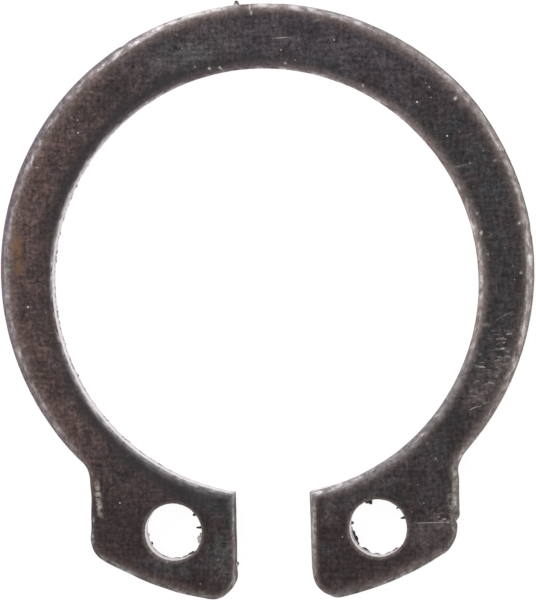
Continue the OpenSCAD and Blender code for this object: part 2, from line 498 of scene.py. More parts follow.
chips = [
    (7.81, -2.61, 0.075, -0.90), (7.77, -2.67, 0.050, -0.70), (-6.21, 5.22, 0.040, 0.80),
    (-7.62, 4.07, 0.036, 0.60), (-6.21, 5.65, 0.032, 0.60), (2.58, 8.10, 0.036, 0.70),
    (5.31, 5.95, 0.045, 1.00), (5.73, 6.44, 0.036, 0.70), (6.60, 6.04, 0.042, 1.00),
    (6.29, 4.79, 0.042, 0.90), (0.78, 7.82, 0.032, 0.70), (-3.39, 7.63, 0.030, 0.40),
    (7.22, 2.17, 0.036, 0.50), (7.34, 1.50, 0.045, 1.00), (8.63, 1.81, 0.040, 0.90),
    (8.64, 0.14, 0.040, 0.45), (-8.12, -0.64, 0.046, 1.00), (-5.18, -7.37, 0.036, 0.80),
    (-3.43, -9.58, 0.034, 0.45), (5.78, 6.09, 0.028, 0.50), (6.71, 4.91, 0.028, 0.30),
    (2.38, -8.65, 0.030, 0.60), (4.75, -8.21, 0.036, 0.80), (5.90, -8.22, 0.030, 0.50),
    (-2.57, 7.97, 0.028, 0.50), (-3.98, 7.33, 0.026, 0.40), (-1.67, 7.27, 0.036, 1.00),
    (-1.31, 7.28, 0.036, 0.90), (-2.15, 7.33, 0.030, 0.65), (0.90, 7.37, 0.032, 0.70),
    (3.50, 6.55, 0.032, 0.70), (7.55, 0.80, 0.036, 0.40), (-4.05, 6.44, 0.028, 0.35),
    (-5.61, 5.84, 0.028, 0.35), (5.17, -7.54, 0.030, 0.45), (4.76, -7.84, 0.028, 0.40),
    (5.67, -8.02, 0.030, 0.45),
]
lint = np.random.default_rng(11)
lint_count = 70
lint_middle_y = 0.25
scuff_count = 26
for _ in range(lint_count):
    angle = math.radians(lint.uniform(-62, 242))
    radius = lint.uniform(7.6, 8.7)
    lean = lint.uniform(0, math.tau)
    length = lint.uniform(0.06, 0.26)
    x = radius * math.cos(angle)
    y = radius * math.sin(angle) + lint_middle_y
    width = lint.uniform(0.018, 0.03)
    bend = lint.uniform(-0.3, 0.3) * length
    strength = lint.uniform(0.08, 0.26)
    scratches.append((x, y, x + length * math.cos(lean), y + length * math.sin(lean), width, bend, strength))
for _ in range(scuff_count):
    angle = math.radians(lint.uniform(-31, -12))
    radius = lint.uniform(7.65, 8.45)
    length = lint.uniform(0.06, 0.24)
    width = lint.uniform(0.04, 0.08)
    lean = lint.uniform(-0.15, 0.15)
    strength = lint.uniform(0.08, 0.28)
    x = radius * math.cos(angle)
    y = radius * math.sin(angle)
    scratches.append((x, y, x + length, y + lean * length, width, 0.0, strength))
print(len(scratches), "scratches and", len(chips), "chips")


# %% The marks that reach the rolled edge
def bare_spots(xy):
    """How bare each point is, from its distance to the nearest mark."""
    found = np.zeros(len(xy))
    short_lines = []
    for x0, y0, x1, y1, width, _, strength in scratches:
        short_lines.append((x0, y0, x1, y1, 0.5 * width + 0.01, 1.2 * strength))
    for x, y, size, strength in chips:
        short_lines.append((x, y, x, y, 0.85 * size, 2.4 * strength))
    for x0, y0, x1, y1, reach, strength in short_lines:
        start = np.array((x0, y0))
        run = np.array((x1 - x0, y1 - y0))
        share = np.clip((xy - start) @ run / max(run @ run, 1e-9), 0, 1)
        away = np.linalg.norm(xy - start - share[:, None] * run, axis=1)
        found = np.maximum(found, strength * np.exp(-((away / reach) ** 2)))
    return np.clip(found, 0, 1)


print("points at the very edge with a mark:", int((bare_spots(edge_start) > 0.2).sum()))

# %% [markdown]
# ## The edge's profile
# Going down from the top face, a stamped edge has four zones: the roll, a burnished band where the
# punch slid along the steel, a rough torn zone where the steel broke, and a small burr at the bottom.
# A bevel modifier can't vary like this, so the profile is swept by hand: each row
# of the profile is the outline again at another inset and height.

# %% A store for points, faces and what each point knows about its surface
points = []
faces = []
mark_names = ("roll", "inward", "wash", "wear", "crest", "along", "wall", "shine", "torn", "bare", "burr")
marks = {name: [] for name in mark_names}


def store_row(xy, z, **known):
    """Adds one row of points and returns their numbers."""
    start = len(points)
    z = np.broadcast_to(z, len(xy))
    points.extend((x, y, h) for (x, y), h in zip(xy.tolist(), z.tolist()))
    for name, kept in marks.items():
        kept.extend(np.broadcast_to(known.get(name, 0.0), len(xy)).tolist())
    return np.arange(start, len(points))


def sew_rows(rows):
    """Quads between neighbouring closed rows."""
    for upper, lower in zip(rows, rows[1:]):
        next_upper = np.roll(upper, -1)
        next_lower = np.roll(lower, -1)
        faces.extend(zip(upper.tolist(), lower.tolist(), next_lower.tolist(), next_upper.tolist()))


def roll_drop(across):
    """How far the roll has dropped, 0 at the flat face and 1 at the wall, for 0 to 1 across it."""
    return 0.65 * across**2 + 0.35 * (1 - np.sqrt(1 - across**4))


# %% Sweep the outer edge, the lugs and the bore in one go
roll_steps = (0.0, 0.10, 0.22, 0.34, 0.46, 0.58, 0.69, 0.79, 0.88, 0.95, 1.0)
burnished_steps = (0.25, 0.5, 0.75, 1.0)
torn_steps = (0.12, 0.3, 0.5, 0.7, 0.88, 1.0)
torn_height = 0.40
torn_lean = 0.02
torn_rough = 0.010
foot_inset = 0.025
foot_height = 0.02

along = np.arange(edge_total) * point_step
edge_finish = {"wash": wash, "wear": wear, "crest": crest, "along": along}
wall_finish = {**edge_finish, "roll": 1.0, "wall": 1.0, "shine": shine}
torn_finish = {**wall_finish, "shine": torn_shine}
burr_noise = edge_ripple(edge_start, 5.0, 14.0) + 0.6 * edge_ripple(edge_start, 12.0, 15.0)
burr_share = by_angle([(90, 0.1), (125, 0.2), (140, 0.7), (205, 0.7), (216, 0.5), (262, 0.4)])
foot_burr = 0.06 * burr_share * np.clip(burr_noise - 0.20, 0, 1)
bore_flecks = [
    (146.0, 0.018), (152.5, 0.036), (156.0, 0.024), (158.0, 0.018), (166.0, 0.026), (171.0, 0.028),
    (173.5, 0.028), (186.0, 0.014), (190.0, 0.018), (196.0, 0.014), (205.0, 0.032),
]
bore_fleck_spread = 0.4
dark_fleck = 0.012
for angle, reach in bore_flecks:
    off = turn_from(edge_angle, angle)
    foot_burr = np.maximum(foot_burr, reach * np.exp(-((off / bore_fleck_spread) ** 2)))
foot_burr = np.where(edge_names == "bore", foot_burr, 0.0)
break_line = torn_height + 0.05 * edge_ripple(edge_start, 1.1, 6.6)
break_line += 0.025 * edge_ripple(edge_start, 4.5, 9.9)
rows = []
for across in roll_steps:
    inward = roll_w * (1 - across)
    xy = outline(inward + edge_shift * across)
    z = thickness - roll_h * roll_drop(across)
    rows.append(store_row(xy, z, roll=across, inward=inward, bare=bare_spots(xy), **edge_finish))
wall_top = thickness - roll_h
wall_lines = 0.003 * edge_ripple(edge_start, 9.0, 1.7)
for down in burnished_steps:
    z = wall_top + (break_line - wall_top) * down
    rows.append(store_row(outline(edge_shift + wall_lines), z, **wall_finish))
for down in torn_steps:
    crumbs = edge_ripple(edge_start, 7.0, 11.0 + 3.0 * down)
    crumbs += 0.5 * edge_ripple(edge_start, 16.0, 4.0 + 6.0 * down)
    crumble = torn_rough * (0.3 + 0.7 * torn_shine) * crumbs * min(1.0, 3 * down)
    burr_push = foot_burr * max(0.0, (down - 0.6) / 0.4)
    push = burr_push + nub_push * min(1.0, max(0.0, (down - 0.3) / 0.58)) ** 1.8
    xy = outline(edge_shift + torn_lean * down**0.7 + crumble - push)
    z = break_line * (1 - down) + foot_height * down
    dark = np.maximum(nub_shape * (down > 0.8), np.clip(burr_push / dark_fleck, 0, 1))
    pale = nub_shape * (0.2 < down < 0.6) + 0.35 * nub_shape * (0.6 < down < 0.8)
    rows.append(store_row(xy, z, torn=min(1.0, 4 * down), bare=pale, burr=dark, **torn_finish))
foot = edge_shift + torn_lean + foot_inset
rows.append(store_row(outline(foot - nub_push), 0.0, torn=1.0, burr=nub_shape, **torn_finish))
foot_finish = {"roll": 0.6, "wash": 0.5 * wash, "wear": 0.5 * wear, "along": along}
rows.append(store_row(outline(foot + foot_inset), 0.0, **foot_finish))
sew_rows(rows)
edge_top = rows[0]
edge_bottom = rows[-1]
print("outer edge:", len(points), "points,", len(faces), "faces")

# %% [markdown]
# ## The plier holes
# Each lug has a punched hole for the tips of the pliers. Its edge has the same zones as the outline,
# only smaller, and ragged flecks of burr hang into it from below. The flecks could be loose slivers,
# but a burr is part of the sheet, so a few points of the torn rows are pulled towards the hole's axis.

# %% Sweep both holes with their burr
hole_total = 190
hole_turn = np.arange(hole_total) * 360 / hole_total
hole_roll_w = 0.14
hole_roll_h = 0.07
hole_wash = 0.42
hole_shine = 0.92
dark_burr = 0.05
hole_tight = 0.02
hole_offsets = {"left": (-hole_x + 0.10, hole_y - 0.01), "right": (hole_x + 0.085, hole_y + 0.02)}
fleck_table = {
    "left": [
        (38, 7, 0.26, 1.0), (4, 4, 0.40, 1.0), (-12, 6, 0.24, 0.5), (-21, 10, 0.25, 0.35),
        (-30, 5, 0.18, 0.35), (-60, 12, 0.09, 1.0), (-74, 9, 0.06, 1.0), (-90, 9, 0.05, 0.6),
        (190, 4, 0.04, 0.6), (208, 4, 0.08, 1.0),
    ],
    "right": [
        (112, 8, 0.23, 1.0), (119, 5, 0.16, 1.0), (44, 4, 0.25, 0.8), (17, 5, 0.31, 1.0),
        (174, 4, 0.11, 1.0), (186, 5, 0.06, 1.0), (196, 9, 0.11, 1.0), (207, 10, 0.12, 1.0),
        (216, 7, 0.07, 1.0), (238, 11, 0.07, 0.9), (262, 8, 0.05, 0.8), (285, 10, 0.05, 0.8),
        (300, 10, 0.07, 0.9),
    ],
}


def hole_row(centre, inset):
    """The circle of a hole, moved into the metal by one inset per point."""
    return np.array(centre) + (hole_r - hole_tight + inset)[:, None] * spokes(hole_turn)


hole_rims = []
for name, centre in hole_offsets.items():
    circle = np.array(centre) + hole_r * spokes(hole_turn)
    flecked = np.zeros(hole_total)
    dark = np.zeros(hole_total)
    for angle, spread, reach, darkness in fleck_table[name]:
        shape = np.clip(1.7 - 1.7 * np.abs(turn_from(hole_turn, angle)) / spread, 0, 1)
        flecked = np.maximum(flecked, reach * shape)
        dark = np.maximum(dark, darkness * (shape > 0))
    teeth = 0.90 + 0.22 * edge_ripple(circle, 7.0, 7.7) + 0.25 * edge_ripple(circle, 21.0, 2.2)
    burr = flecked * np.clip(teeth, 0.2, 1.1)
    hole_wear = 0.06 + 0.10 * edge_ripple(circle, 2.0, 5.0)
    hole_shift = 0.010 * edge_ripple(circle, 2.0, 1.0) + 0.006 * edge_ripple(circle, 8.0, 1.5)
    hole_break = torn_height + 0.06 * edge_ripple(circle, 2.5, 3.0)
    rolled = {"wash": hole_wash, "wear": hole_wear, "along": 0.1 * hole_turn}
    walled = {"roll": 1.0, "wear": hole_wear, "wall": 1.0, "shine": hole_shine}

    rows = []
    for across in roll_steps[::2]:
        inward = hole_roll_w * (1 - across)
        xy = hole_row(centre, inward + hole_shift * across)
        z = thickness - hole_roll_h * roll_drop(across)
        rows.append(store_row(xy, z, roll=across, inward=inward, **rolled))
    for down in burnished_steps:
        z = (thickness - hole_roll_h) * (1 - down) + hole_break * down
        rows.append(store_row(hole_row(centre, hole_shift), z, **{**rolled, **walled}))
    for down in torn_steps:
        crumble = 1.3 * torn_rough * edge_ripple(circle, 9.0, 20.0 + 3 * down)
        pull = burr * np.clip((down - 0.3) / 0.6, 0, 1) ** 1.3
        z = hole_break * (1 - down) + foot_height * down
        xy = hole_row(centre, hole_shift + torn_lean * down**0.7 + crumble - pull)
        burr_tone = dark * np.clip(pull / dark_burr, 0, 1)
        rows.append(store_row(xy, z, torn=min(1.0, 4 * down), burr=burr_tone, **walled))
    xy = hole_row(centre, hole_shift + torn_lean + 0.02 - 0.9 * burr)
    burr_tone = dark * np.clip(burr / dark_burr, 0, 1)
    rows.append(store_row(xy, 0.0, roll=0.8, wear=hole_wear, torn=0.6, burr=burr_tone))
    rows.append(store_row(hole_row(centre, hole_shift + torn_lean + 0.06), 0.0, wear=hole_wear))
    sew_rows(rows)
    hole_rims.append((rows[0], rows[-1]))
    print(name, "hole: burr reaches", burr.max().round(2), "mm into it")

# %% [markdown]
# ## The two flat faces
# The grooves of the scratches could be a bump map, but then the exported mesh would lose them. Here
# each one is a shallow groove in the mesh, and each chip a low bump. A triangulation that must keep
# given lines joins the rims, the grooves and a loose net of inner points into one skin.

# %% Which points lie inside a closed row
def inside(xy, rim):
    """True for the points of xy inside the polygon rim."""
    x = xy[:, :1]
    y = xy[:, 1:]
    following = np.roll(rim, -1, 0)
    run_x, run_y = (following - rim).T
    crosses = (rim[:, 1] > y) != (following[:, 1] > y)
    with np.errstate(divide="ignore", invalid="ignore"):
        where = run_x * (y - rim[:, 1]) / run_y + rim[:, 0]
    return ((x < where) & crosses).sum(1) % 2 == 1


def nearest(xy, others):
    """Distance from each point to the nearest of the others."""
    return np.array([np.sqrt(((others - p) ** 2).sum(1).min()) for p in xy])


def on_face(xy, rims, margin):
    """True for the points inside the first rim, outside the others and at least margin away from all."""
    good = inside(xy, rims[0])
    for rim in rims[1:]:
        good &= ~inside(xy, rim)
    if margin > 0:
        good[good] = nearest(xy[good], np.concatenate(rims)) > margin
    return good


# %% Grooves and chips as points and the lines between them
rim_margin = 0.07
groove_step = 0.07
groove_profile = ((-1.0, 0.0, 0.0), (-0.35, -1.0, 1.0), (0.35, -1.0, 1.0), (1.0, 0.0, 0.0))
scratch_depth = 0.006
chip_height = 0.008
face_wave = 0.0015
mark_margin = 0.05


def groove_rows(x0, y0, x1, y1, width, bend, strength, rims):
    """Rows of x, y, height and bareness for the part of a scratch that lies on the flat face."""
    span = math.hypot(x1 - x0, y1 - y0)
    share = np.linspace(0, 1, max(5, int(span / groove_step)))
    across = np.array((y0 - y1, x1 - x0)) / span
    middle = np.array((x0, y0)) + share[:, None] * (x1 - x0, y1 - y0)
    sideways = bend * 4 * share * (1 - share) + 0.12 * width * edge_ripple(middle, 14.0, 3.3)
    middle = middle + sideways[:, None] * across
    swell = 0.5 * width * np.sin(np.pi * np.clip(share, 0.03, 0.97)) ** 0.6
    kept = on_face(middle, rims, rim_margin)
    if kept.sum() < 4 or np.diff(np.flatnonzero(kept)).max() > 1:
        return []
    rows = []
    for off, low, bare in groove_profile:
        row = (middle + off * swell[:, None] * across)[kept]
        rows.append([(x, y, scratch_depth * low, bare * strength) for x, y in row])
    return rows


def chip_rings(x, y, size, strength, rims):
    """The middle point and two rings of a chip, or nothing near a rim; a pit has a negative strength."""
    if not on_face(np.array([(x, y)]), rims, rim_margin + size).all():
        return [], []
    rise = math.copysign(chip_height, strength)
    rings = []
    for share, height, bare in ((0.55, rise, strength), (1.0, 0.0, 0.0)):
        ring = np.array((x, y)) + share * size * spokes(np.arange(0, 360, 60) + math.degrees(40 * x))
        rings.append([(px, py, height, bare) for px, py in ring])
    return [(x, y, rise, strength)], rings


# %% Fill a face between its rims
def loose_net(rims, step):
    """A slightly shaken triangular net of points inside the rims."""
    low = rims[0].min(0)
    high = rims[0].max(0)
    columns = np.arange(low[0], high[0], step)
    levels = np.arange(low[1], high[1], step * math.sqrt(0.75))
    net = np.array([(x + 0.5 * step * (row % 2), y) for row, y in enumerate(levels) for x in columns])
    net += 0.18 * step * np.random.default_rng(7).uniform(-1, 1, net.shape)
    return net[on_face(net, rims, 0.55 * step)]


def fill_face(rim_rows, z, step, grooves=(), dots=()):
    """Triangles for one flat face between rows of points that exist already; z is its height."""
    rims = [np.array([points[n][:2] for n in row]) for row in rim_rows]
    numbers = [int(n) for row in rim_rows for n in row]
    flat = [tuple(p) for rim in rims for p in rim]
    lines = []
    extra = []
    left_out = 0
    at = 0
    for rim in rims:
        lines += [(at + i, at + (i + 1) % len(rim)) for i in range(len(rim))]
        at += len(rim)

    def keep(row, closed=False):
        """Adds a row of points and the lines between neighbours."""
        start = at + len(extra)
        extra.extend(row)
        ends = list(range(start, start + len(row)))
        lines.extend(zip(ends, ends[1:] + ends[:1] if closed else ends[1:]))

    for groove in grooves:
        rows = groove_rows(*groove, rims)
        left_out += not rows
        for row in rows:
            keep(row)
    for dot in dots:
        middle, rings = chip_rings(*dot, rims)
        left_out += not rings
        extra.extend(middle)
        for ring in rings:
            keep(ring, closed=True)
    net = loose_net(rims, step)
    if extra:
        net = net[nearest(net, np.array(extra)[:, :2]) > mark_margin]
    for x, y in net:
        wave = face_wave * noise.noise(Vector((1.4 * x, 1.4 * y, z))) - face_wave
        extra.append((x, y, wave, 0.0))

    everything = [Vector(p) for p in flat] + [Vector(e[:2]) for e in extra]
    new_xy, _, triangles, origins, _, _ = geometry.delaunay_2d_cdt(everything, lines, [], 2, 1e-7, True)
    number_of = []
    for place, origin in zip(new_xy, origins):
        first = min(origin, default=None)
        if first is not None and first < at:
            number_of.append(numbers[first])
            continue
        height, bare = extra[first - at][2:] if first is not None else (0.0, 0.5)
        level = z + height if z > 0 else z
        made = store_row(np.array([place]), level, bare=max(bare, 0.0), burr=max(-bare, 0.0))
        number_of.append(int(made[0]))
    middles = np.array([np.mean([new_xy[i] for i in t], 0) for t in triangles])
    good = on_face(middles, rims, 0.0)
    faces.extend(tuple(number_of[i] for i in t) for t, ok in zip(triangles, good) if ok)
    return int(good.sum()), left_out


top_rows = [edge_top] + [upper for upper, _ in hole_rims]
bottom_rows = [edge_bottom] + [lower for _, lower in hole_rims]
top_net_step = 0.12
bottom_net_step = 0.22
top_count, left_out = fill_face(top_rows, thickness, top_net_step, scratches, chips)
bottom_count, _ = fill_face(bottom_rows, 0.0, bottom_net_step)
print("top face", top_count, "triangles,", left_out, "marks lie on the roll alone; bottom face", bottom_count)

# %% [markdown]
# ## One closed mesh
# The rows and faces become one mesh here, with the stored values on its points. A skin with a slit
# would show light through the wall, so every edge is counted: on a closed skin each has two faces.

# %% One closed mesh, in metres
ring_mesh = bpy.data.meshes.new("retaining_ring_skin")
ring_mesh.from_pydata((np.array(points) * MM).tolist(), [], faces)
for name, kept in marks.items():
    values = np.array(kept, np.float32)
    ring_mesh.attributes.new(name, "FLOAT", "POINT").data.foreach_set("value", values)
work = bmesh.new()
work.from_mesh(ring_mesh)
bmesh.ops.recalc_face_normals(work, faces=work.faces)
open_edges = sum(1 for e in work.edges if len(e.link_faces) != 2)
loose = [v for v in work.verts if not v.link_faces]
bmesh.ops.delete(work, geom=loose, context="VERTS")
volume = work.calc_volume() / MM**3
work.to_mesh(ring_mesh)
work.free()
ring_mesh.polygons.foreach_set("use_smooth", [True] * len(ring_mesh.polygons))
ring_mesh.update()
ring = bpy.data.objects.new("retaining_ring_skin", ring_mesh)
bpy.context.scene.collection.objects.link(ring)
triangle_count = sum(len(p.vertices) - 2 for p in ring_mesh.polygons)
print("ring:", triangle_count, "triangles, volume", round(volume, 1), "mm3")
print("open edges:", open_edges, "loose points taken out:", len(loose))

# %% [markdown]
# ## Phosphated spring steel
# Phosphating grows a skin of fine crystals, so the flat faces are nearly black, matt and mottled, a
# little browner at the left where oil has dried. Where the skin is rubbed away, warm grey steel
# shows. An image could hold all this, but it would fix the resolution. Noise at three scales, led by
# the values stored on the mesh, gives the same finish from any distance.

# %% Node helpers for the finish
steel = bpy.data.materials.new("phosphated_spring_steel")
tree = new_tree(steel)


def noise_field(where, scale, detail=2.0, rough=0.5):
    """A noise value of about 0.5 on average; scale counts the lumps per millimetre."""
    inputs = {"Vector": where, "Scale": scale, "Detail": detail, "Roughness": rough}
    return add_node(tree, "ShaderNodeTexNoise", inputs).outputs["Fac"]


def blend_range(value, low, high, to_low=0.0, to_high=1.0):
    """A smooth step from to_low to to_high as value goes from low to high."""
    made = add_node(
        tree, "ShaderNodeMapRange",
        {"Value": value, "From Min": low, "From Max": high, "To Min": to_low, "To Max": to_high},
        interpolation_type="SMOOTHSTEP",
    )
    return made.outputs["Result"]


def combine(kind, first, second, clamp=False):
    """One sum, product or other operation of two values."""
    return add_node(tree, "ShaderNodeMath", {0: first, 1: second}, operation=kind, use_clamp=clamp).outputs[0]


def times(first, *others):
    """The product of several values."""
    for other in others:
        first = combine("MULTIPLY", first, other)
    return first


def apart(first, second):
    """How far two values are from each other."""
    return combine("ABSOLUTE", combine("SUBTRACT", first, second), 0.0)


def mix_colour(amount, first, second, kind="MIX"):
    """Two colours mixed by amount."""
    inputs = {0: amount, 6: first, 7: second}
    return add_node(tree, "ShaderNodeMix", inputs, data_type="RGBA", blend_type=kind).outputs[2]


def stored(name):
    """A value that the mesh carries for each point."""
    return add_node(tree, "ShaderNodeAttribute", attribute_name=name).outputs["Fac"]


def shaded(colour, tone):
    """A colour made lighter or darker by one value."""
    grey = add_node(tree, "ShaderNodeCombineXYZ", {0: tone, 1: tone, 2: tone}).outputs[0]
    return mix_colour(1.0, colour, grey, "MULTIPLY")


def stretched(x, y, z=1.0):
    """The place in mm, stretched on each axis; noise becomes streaks there."""
    made = add_node(tree, "ShaderNodeVectorMath", {0: in_mm, 1: (x, y, z)}, operation="MULTIPLY")
    return made.outputs["Vector"]


def unsteady(span, scale, detail=2.0, rough=0.5):
    """Noise about zero, half of span to either side at most."""
    return times(combine("SUBTRACT", noise_field(in_mm, scale, detail, rough), 0.5), span)


def cells(scale):
    """Cells like crystals: one chance value for each, and the distance from its middle."""
    made = add_node(tree, "ShaderNodeTexVoronoi", {"Vector": in_mm, "Scale": scale})
    chance = add_node(tree, "ShaderNodeSeparateColor", {0: made.outputs["Color"]}).outputs[0]
    return chance, made.outputs["Distance"]


place = add_node(tree, "ShaderNodeTexCoord").outputs["Object"]
grown_place = add_node(tree, "ShaderNodeVectorMath", {0: place, "Scale": 1 / MM}, operation="SCALE")
in_mm = grown_place.outputs["Vector"]
split = add_node(tree, "ShaderNodeSeparateXYZ", {0: in_mm}).outputs
print("finish is laid out in millimetres")

# %% The coat: neutral black, browner at the left and on the lugs
neutral_coat = (0.0385, 0.0340, 0.0365, 1)
brown_coat = (0.0885, 0.0562, 0.0535, 1)
lug_coat = (0.0335, 0.0215, 0.0225, 1)
lilac_sheen_coat = (0.0570, 0.0485, 0.0570, 1)
cool_coat = (0.0380, 0.0395, 0.0450, 1)
maroon_coat = (0.0480, 0.0300, 0.0310, 1)
wander = unsteady(10.0, 0.30)
brownness = blend_range(combine("ADD", split["X"], wander), 0.0, -8.5)
lugness = blend_range(combine("ADD", split["Y"], times(wander, 0.2)), -5.0, -8.6)
# The top of the band is lighter and lilac: a painted sheen.
top_sheen_share = blend_range(split["Y"], 4.0, 8.5)
coat = mix_colour(top_sheen_share, neutral_coat, lilac_sheen_coat)
coat = mix_colour(brownness, coat, brown_coat)
coat = mix_colour(lugness, coat, lug_coat)
cool_share = blend_range(brownness, 0.2, 0.9, 0.70, 0.15)
cool_patch = times(blend_range(noise_field(in_mm, 0.9, 4.0, 0.65), 0.50, 0.66), cool_share)
maroon_patch = blend_range(noise_field(stretched(1.4, 1.1), 1.0, 4.0, 0.65), 0.54, 0.68, 0.0, 0.75)
coat = mix_colour(cool_patch, coat, cool_coat)
coat = mix_colour(maroon_patch, coat, maroon_coat)
print("coat from", neutral_coat[:3], "to", brown_coat[:3])

# %% [markdown]
# ## Patches of tone
# Handling leaves some parts of the coat paler or scuffed and others darker. Noise alone puts them in
# chance places, so each one is a soft ellipse with a ragged rim, listed by place, size, turn,
# strength and colour.

# %% Patches where handling has left the coat paler, scuffed, greyer or darker
pale_coat = (0.0830, 0.0770, 0.0790, 1)
scuffed_coat = (0.0800, 0.0635, 0.0640, 1)
grey_coat = (0.0600, 0.0560, 0.0565, 1)
dark_coat = (0.0320, 0.0235, 0.0245, 1)
tone_patches = [
    (-2.10, 7.86, 1.55, 0.55, 15, 0.95, pale_coat),
    (7.80, -2.75, 0.90, 0.34, 65, 0.65, scuffed_coat),
    (7.10, -3.95, 0.80, 0.42, 58, 1.00, scuffed_coat),
    (5.30, -8.45, 0.95, 0.60, 15, 0.95, scuffed_coat),
    (3.25, -7.05, 1.40, 0.35, 25, 0.55, grey_coat),
    (1.95, -7.60, 0.30, 0.60, 0, 0.70, scuffed_coat),
    (-1.75, -9.20, 0.55, 0.95, 0, 0.85, grey_coat),
    (-1.95, -7.35, 1.00, 0.55, -20, 0.75, grey_coat),
    (-3.50, -9.45, 0.70, 0.35, -20, 0.80, grey_coat),
    (-5.11, 6.50, 0.90, 0.50, 40, 0.65, dark_coat),
    (5.55, 6.21, 0.90, 0.50, -45, 0.70, dark_coat),
    (-5.10, -6.20, 0.90, 0.60, -50, 0.75, dark_coat),
    (2.60, -9.80, 0.90, 0.40, 10, 0.80, dark_coat),
    (6.20, -5.35, 0.80, 0.40, 60, 0.70, dark_coat),
    (5.55, -6.15, 0.30, 0.70, 0, 0.45, grey_coat),
]
flat_place = stretched(1.0, 1.0, 0.0)


def from_middle(x, y, half_length, half_width, turn=0.0):
    """Distance from the middle of an ellipse on the face, 1 at its rim; turn is in degrees."""
    own_place = add_node(
        tree, "ShaderNodeMapping",
        {
            "Vector": flat_place, "Location": (x, y, 0.0), "Rotation": (0.0, 0.0, math.radians(turn)),
            "Scale": (half_length, half_width, 1.0),
        },
        vector_type="TEXTURE",
    ).outputs[0]
    return add_node(tree, "ShaderNodeVectorMath", {0: own_place}, operation="LENGTH").outputs["Value"]


patch_rim = unsteady(2.4, 3.0, 4.0, 0.7)
for x, y, half_length, half_width, turn, strength, tone in tone_patches:
    patch_at = combine("ADD", from_middle(x, y, half_length, half_width, turn), patch_rim)
    coat = mix_colour(blend_range(patch_at, 1.4, 0.2, 0.0, strength), coat, tone)
print(len(tone_patches), "patches")

# %% Its texture: rolling streaks, clouds, crystals and pits
upright = noise_field(stretched(9.0, 1.3), 1.0, 2.0)
level = noise_field(stretched(1.3, 9.0), 1.0, 2.0)
streaks = blend_range(combine("ADD", upright, level), 0.72, 1.28, 0.70, 1.32)
patches = blend_range(noise_field(in_mm, 1.6, 3.0, 0.6), 0.30, 0.70, 0.80, 1.24)
fine = noise_field(in_mm, 7.0, 3.0, 0.7)
grain = blend_range(fine, 0.26, 0.74, 0.54, 1.52)
crystal_tone, _ = cells(10.0)
crystals = blend_range(crystal_tone, 0.0, 1.0, 0.80, 1.22)
pits = blend_range(noise_field(in_mm, 4.5, 3.0, 0.7), 0.58, 0.68, 1.0, 0.40)
coat = shaded(coat, times(streaks, patches, grain, crystals, pits))
print("grain of about 0.14 mm on clouds of 0.6 mm")

# %% [markdown]
# ## Dried oil
# Rings are oiled before they are packed. The oil creeps along the bore and dries to a darker line there.
# A painted line would be too even, so its reach wanders with noise and fades towards the right.

# %% A darker line of dried oil beside the bore, strongest at the left
from_axis = add_node(tree, "ShaderNodeVectorMath", {0: flat_place}, operation="LENGTH").outputs["Value"]
oil_edge = unsteady(0.30, 1.5)
oil_from = combine("SUBTRACT", combine("ADD", from_axis, oil_edge), times(lugness, 0.30))
oil_side = blend_range(split["X"], 5.0, -5.0, 0.10, 0.80)
oil_gap = blend_range(apart(split["Y"], -0.3), 1.2, 4.2, 0.45, 1.0)
oil = times(blend_range(oil_from, 7.95, 7.50), oil_side, oil_gap)
oil_dark = (0.0245, 0.0250, 0.0285, 1)
coat = mix_colour(oil, coat, oil_dark)
print("oil line out to 8 mm from the axis")

# %% [markdown]
# ## Rubbed edges and painted light on the roll
# Handling thins the coat first where the roll bends down: a brown stain, then tan, then grey steel.
# The tan further down the roll is partly that wear and partly painted light, and its lilac, pink and
# cool tints are painted reflections. A fixed border would look painted on. How far down the roll a
# point lies, shaken by noise, decides how much of the stain and the painted light shows.

# %% The rubbed edges: a brown wash that thickens down the roll, paler partly from painted light
wash_brown = (0.205, 0.132, 0.104, 1)
wash_tan_and_light = (0.370, 0.314, 0.298, 1)
lilac_reflection_tint = (0.300, 0.252, 0.304, 1)
warm_reflection_pink = (0.360, 0.272, 0.268, 1)
cool_bore_reflection = (0.345, 0.318, 0.338, 1)
wash_maroon = (0.210, 0.150, 0.158, 1)
roll_at, wash_at, inward_at, crest_at = (stored(n) for n in ("roll", "wash", "inward", "crest"))
along_at, wear_at, wall_at = (stored(n) for n in ("along", "wear", "wall"))
shine_at, torn_at, bare_at, burr_at = (stored(n) for n in ("shine", "torn", "bare", "burr"))
scuff = combine("SUBTRACT", noise_field(in_mm, 8.0, 4.0, 0.7), 0.5)
smear = combine("SUBTRACT", noise_field(in_mm, 2.4, 3.0, 0.6), 0.5)
on_roll = blend_range(roll_at, 0.0, 0.5)
uneven = times(combine("ADD", smear, scuff), on_roll, 0.40)
wash_reach = combine("ADD", roll_at, uneven, True)
washed_and_lit = times(wash_reach, wash_at)
off_bore = blend_range(from_axis, 7.8, 8.2)
lilac_reflection_side = times(blend_range(split["X"], 0.0, -5.0), off_bore)
past_crest = blend_range(combine("SUBTRACT", crest_at, inward_at), -0.02, 0.08)
wash_and_light_colour = mix_colour(blend_range(wash_reach, 0.10, 0.85), wash_brown, wash_tan_and_light)
# Past the crest, on the left of the band, the roll gets a painted lilac reflection.
wash_and_light_colour = mix_colour(times(lilac_reflection_side, past_crest), wash_and_light_colour, lilac_reflection_tint)
on_bore = combine("SUBTRACT", 1.0, off_bore)
